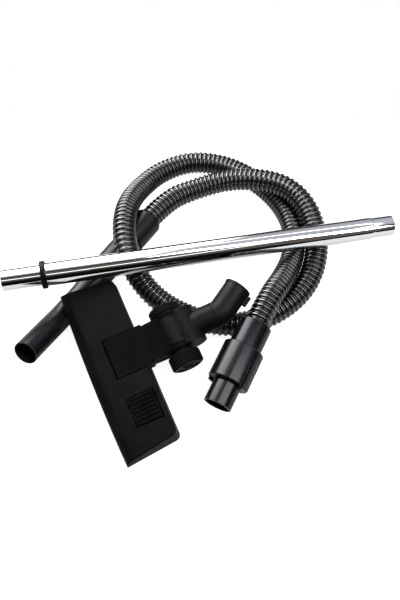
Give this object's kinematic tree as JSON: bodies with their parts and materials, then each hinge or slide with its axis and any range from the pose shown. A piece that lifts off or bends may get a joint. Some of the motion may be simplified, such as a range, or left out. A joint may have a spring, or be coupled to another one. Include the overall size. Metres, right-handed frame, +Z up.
{
  "type": "vacuum hose and floor tool kit",
  "caption": "Ribbed suction hose with handle and machine connector, telescopic chrome wand and wheeled floor head with pedal and swivel neck, laid in a heap.",
  "frame": {"origin": "floor point below the middle of the footprint of the wand, handle and floor head", "axes": "+X along the wand towards its necked end, +Y towards the hose's upper loop, +Z up"},
  "size_m": [0.5523, 0.5167, 0.1025],
  "materials": {
    "hose_black": "glossy ribbed vinyl",
    "handle_plastic": "glossy moulded plastic",
    "connector_plastic": "glossy moulded plastic",
    "wand_chrome": "polished chrome plate",
    "head_plastic": "satin moulded plastic",
    "sole_plastic": "fine textured plastic",
    "neck_plastic": "satin moulded plastic",
    "seal_rubber": "matt rubber",
    "wheel_tyre": "matt rubber",
    "brush_bristle": "dense short bristle",
    "lint_pile": "short one-way pile",
    "pin_steel": "plain steel",
    "bush_acetal": "smooth bearing plastic"
  },
  "bodies": {
    "hose_set": {"hose": "hose_black", "handle_tube": "handle_plastic", "handle_thread_bush": "bush_acetal", "handle_clip_ring": "pin_steel", "machine_cuff": "connector_plastic", "machine_thread_bush": "bush_acetal", "swivel_ring": "bush_acetal"},
    "handle_cuff": {"handle_cuff": "handle_plastic"},
    "connector": {"connector_body": "connector_plastic", "connector_spigot": "connector_plastic", "spigot_seal": "seal_rubber", "latch_pins": "pin_steel"},
    "latch_left": {"latch_lever_left": "connector_plastic"},
    "latch_right": {"latch_lever_right": "connector_plastic"},
    "floor_head": {"head_cover": "head_plastic", "sole_plate": "sole_plastic", "head_screws": "pin_steel", "lint_strips": "lint_pile", "neck_pin": "pin_steel", "pedal_pin": "pin_steel"},
    "pedal": {"pedal": "head_plastic"},
    "brush_bar": {"brush_carrier": "bush_acetal", "front_brush": "brush_bristle", "rear_brush": "brush_bristle"},
    "neck_arm": {"neck_arm": "neck_plastic", "axles": "pin_steel"},
    "wheel_left": {"wheel_left": "neck_plastic", "tyre_left": "wheel_tyre"},
    "wheel_right": {"wheel_right": "neck_plastic", "tyre_right": "wheel_tyre"},
    "neck": {"neck_knuckle": "neck_plastic", "neck_collar": "neck_plastic", "swivel_clip": "bush_acetal"},
    "socket": {"wand_socket": "neck_plastic", "socket_seal": "seal_rubber"},
    "lock_button": {"lock_button": "neck_plastic"},
    "wand": {"wand_outer_tube": "wand_chrome", "inner_guide": "bush_acetal"},
    "wand_inner": {"wand_inner_tube": "wand_chrome", "inner_stop_ring": "bush_acetal"},
    "release_ring": {"release_ring": "neck_plastic"}
  },
  "joints": [
    {"name": "handle_swivel", "type": "hinge", "parent": "hose_set", "child": "handle_cuff", "pos_m": [-0.0941, 0.1731, 0.0227], "axis": [-0.5745, -0.8182, -0.0244], "continuous": true},
    {"name": "connector_swivel", "type": "hinge", "parent": "hose_set", "child": "connector", "pos_m": [0.04874, -0.053, 0.04586], "axis": [-0.4379, -0.8901, -0.1261], "continuous": true},
    {"name": "latch_left_hinge", "type": "hinge", "parent": "connector", "child": "latch_left", "pos_m": [0.01875, -0.06676, 0.03144], "axis": [0.4704, -0.1073, -0.8759], "range_deg": [0, 6], "stiffness_Nm_per_rad": 0.6},
    {"name": "latch_right_hinge", "type": "hinge", "parent": "connector", "child": "latch_right", "pos_m": [0.05491, -0.08766, 0.05342], "axis": [-0.4704, 0.1073, 0.8759], "range_deg": [0, 6], "stiffness_Nm_per_rad": 0.6},
    {"name": "head_lift", "type": "slide", "parent": "hose_set", "child": "floor_head", "axis": [0, 0, 1], "range_m": [0, 0.25]},
    {"name": "pedal_tilt", "type": "hinge", "parent": "floor_head", "child": "pedal", "pos_m": [-0.07971, -0.1247, 0.02404], "axis": [0.407, -0.8998, -0.1573], "range_deg": [0, 15]},
    {"name": "brush_drop", "type": "slide", "parent": "floor_head", "child": "brush_bar", "axis": [-0.0648, 0.1433, -0.9876], "range_m": [0, 0.0044]},
    {"name": "neck_rock", "type": "hinge", "parent": "floor_head", "child": "neck_arm", "pos_m": [-0.1205, -0.0588, 0.03425], "axis": [0.407, -0.8998, -0.1573], "range_deg": [0, 8]},
    {"name": "wheel_left_spin", "type": "hinge", "parent": "neck_arm", "child": "wheel_left", "pos_m": [-0.0562, 0.00287, 0.05316], "axis": [0.407, -0.8998, -0.1573], "continuous": true},
    {"name": "wheel_right_spin", "type": "hinge", "parent": "neck_arm", "child": "wheel_right", "pos_m": [-0.02523, -0.0656, 0.04119], "axis": [0.407, -0.8998, -0.1573], "continuous": true},
    {"name": "neck_tilt", "type": "hinge", "parent": "neck_arm", "child": "neck", "pos_m": [-0.04306, -0.02619, 0.04808], "axis": [0.407, -0.8998, -0.1573], "range_deg": [0, 62]},
    {"name": "socket_swivel", "type": "hinge", "parent": "neck", "child": "socket", "pos_m": [-0.04306, -0.02619, 0.04808], "axis": [0.9122, 0.3916, 0.1204], "range_deg": [-30, 40]},
    {"name": "lock_press", "type": "slide", "parent": "socket", "child": "lock_button", "axis": [-0.8286, 0.5555, 0.0696], "range_m": [0, 0.0013], "stiffness_N_per_m": 600},
    {"name": "wand_lift", "type": "slide", "parent": "floor_head", "child": "wand", "axis": [0, 0, 1], "range_m": [0, 0.25]},
    {"name": "wand_extend", "type": "slide", "parent": "wand", "child": "wand_inner", "axis": [-0.9763, -0.2083, 0.059], "range_m": [0, 0.33]},
    {"name": "ring_release", "type": "slide", "parent": "wand", "child": "release_ring", "axis": [-0.9763, -0.2083, 0.059], "range_m": [0, 0.003], "stiffness_N_per_m": 900}
  ],
  "couplings": [
    {"joint": "pedal_tilt", "follows": "brush_drop", "rad_per_m": 59.4}
  ]
}
